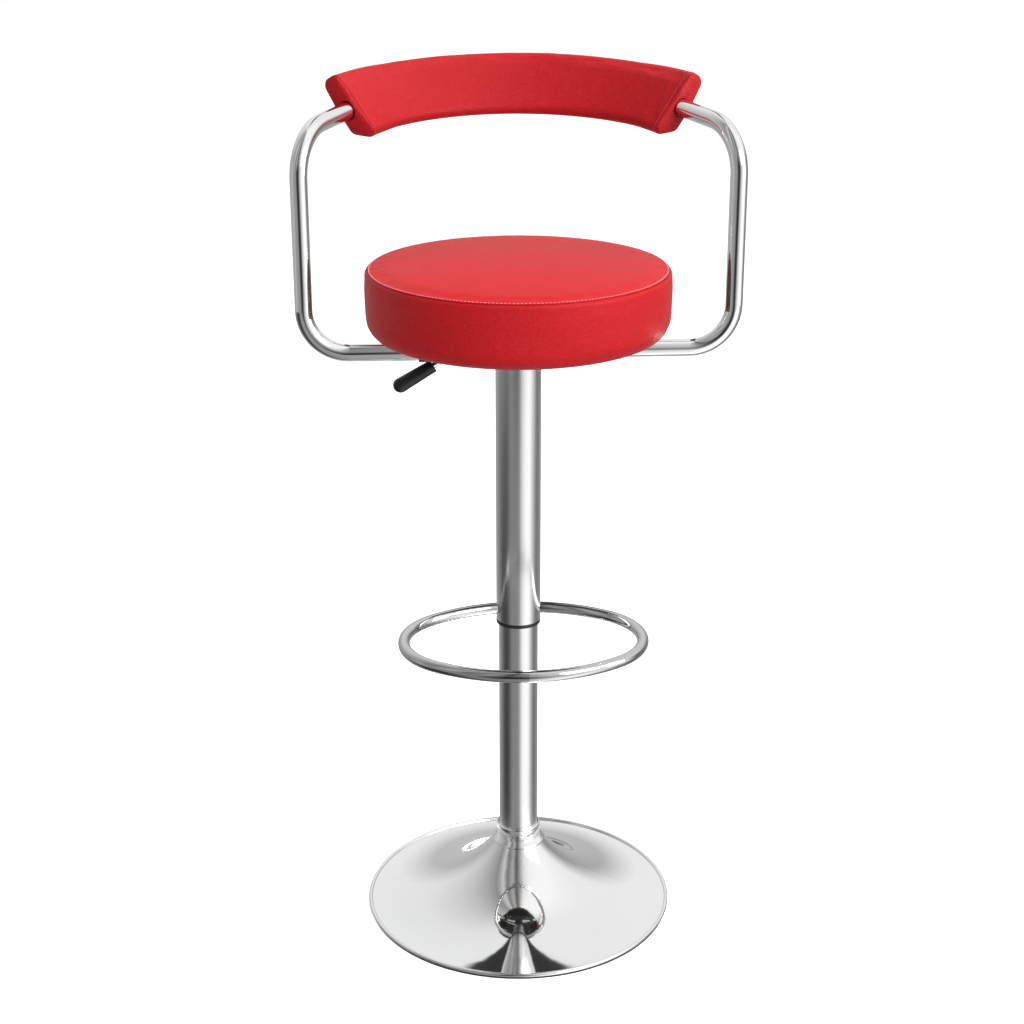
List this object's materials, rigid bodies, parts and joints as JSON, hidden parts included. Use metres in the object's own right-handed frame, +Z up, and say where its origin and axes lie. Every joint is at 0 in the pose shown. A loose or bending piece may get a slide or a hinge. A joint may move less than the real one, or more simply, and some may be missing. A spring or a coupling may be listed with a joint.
{
  "type": "adjustable swivel stool",
  "caption": "Height-adjustable swivel bar stool: round padded seat on a gas lift and domed floor base, bent-tube arms with a padded back, foot ring and lift lever.",
  "frame": {"origin": "on the floor under the swivel axis, at the middle of the footprint", "axes": "+Z up along the swivel axis, -Y towards the front of the seat, +X to the right seen from the front"},
  "size_m": [0.509, 0.403, 1.046],
  "materials": {
    "chrome": "polished mirror chrome plating",
    "satin_chrome": "satin chrome plating on drawn tube",
    "plain_steel": "bare or zinc-plated steel, out of sight",
    "black_steel": "black paint on steel",
    "iron": "rough cast iron",
    "black_plastic": "moulded matte black plastic",
    "white_plastic": "slippery natural plastic",
    "rubber": "black rubber",
    "plywood": "beech plywood",
    "foam": "moulded cream upholstery foam",
    "leatherette": "red leatherette with a fine grain and matching stitches",
    "black_cloth": "thin black dust cloth"
  },
  "bodies": {
    "base": {"floor_ring": "rubber", "bottom_plate": "black_steel", "base_weight": "iron", "base_shell": "chrome", "base_hub": "plain_steel", "base_collar": "chrome", "lower_tube": "satin_chrome", "column_floor": "plain_steel", "guide_bush": "white_plastic", "bearing_lower_race": "plain_steel"},
    "cage": {"bearing_cage": "white_plastic", "bearing_balls": "plain_steel"},
    "rod": {"bearing_upper_race": "plain_steel", "piston_rod": "chrome", "rod_washer": "plain_steel", "rod_clip": "plain_steel", "bump_stop": "rubber", "piston": "plain_steel", "piston_seal": "rubber"},
    "carriage": {"gas_cylinder": "black_steel", "rod_gland": "plain_steel", "rod_seal": "rubber", "valve_body": "plain_steel", "sleeve": "satin_chrome", "sleeve_disc": "plain_steel", "sleeve_cap": "black_plastic", "sleeve_glide": "black_plastic", "foot_ring": "chrome", "seat_plate": "black_steel", "taper_hub": "black_steel", "plate_screws": "plain_steel", "tee_nuts": "plain_steel", "seat_board": "plywood", "dust_cover": "black_cloth", "seat_foam": "foam", "seat_cover": "leatherette", "arm_tube": "chrome", "tube_plugs": "black_plastic", "arm_saddles": "black_steel", "saddle_screws": "plain_steel", "back_strips": "plain_steel", "back_foam": "foam", "back_cover": "leatherette", "back_grommets": "black_plastic", "lever_pivot": "plain_steel"},
    "lever": {"lever_rod": "chrome", "lever_grip": "black_plastic"},
    "pin": {"valve_pin": "plain_steel"}
  },
  "joints": [
    {"name": "swivel", "type": "hinge", "parent": "base", "child": "rod", "pos_m": [0, 0, 0.029], "axis": [0, 0, 1], "continuous": true},
    {"name": "cage_spin", "type": "hinge", "parent": "base", "child": "cage", "pos_m": [0, 0, 0.029], "axis": [0, 0, 1], "continuous": true},
    {"name": "height", "type": "slide", "parent": "rod", "child": "carriage", "axis": [0, 0, 1], "range_m": [-0.21, 0]},
    {"name": "lever", "type": "hinge", "parent": "carriage", "child": "lever", "pos_m": [-0.01931, -0.00271, 0.7385], "axis": [-0.1392, 0.9903, 0], "range_deg": [0, 9], "stiffness_Nm_per_rad": 3, "springref_deg": -2.86},
    {"name": "valve", "type": "slide", "parent": "carriage", "child": "pin", "axis": [0, 0, 1], "range_m": [-0.0032, 0]}
  ],
  "couplings": [
    {"joint": "cage_spin", "follows": "swivel", "ratio": 0.5},
    {"joint": "valve", "follows": "lever", "m_per_rad": -0.0195}
  ]
}
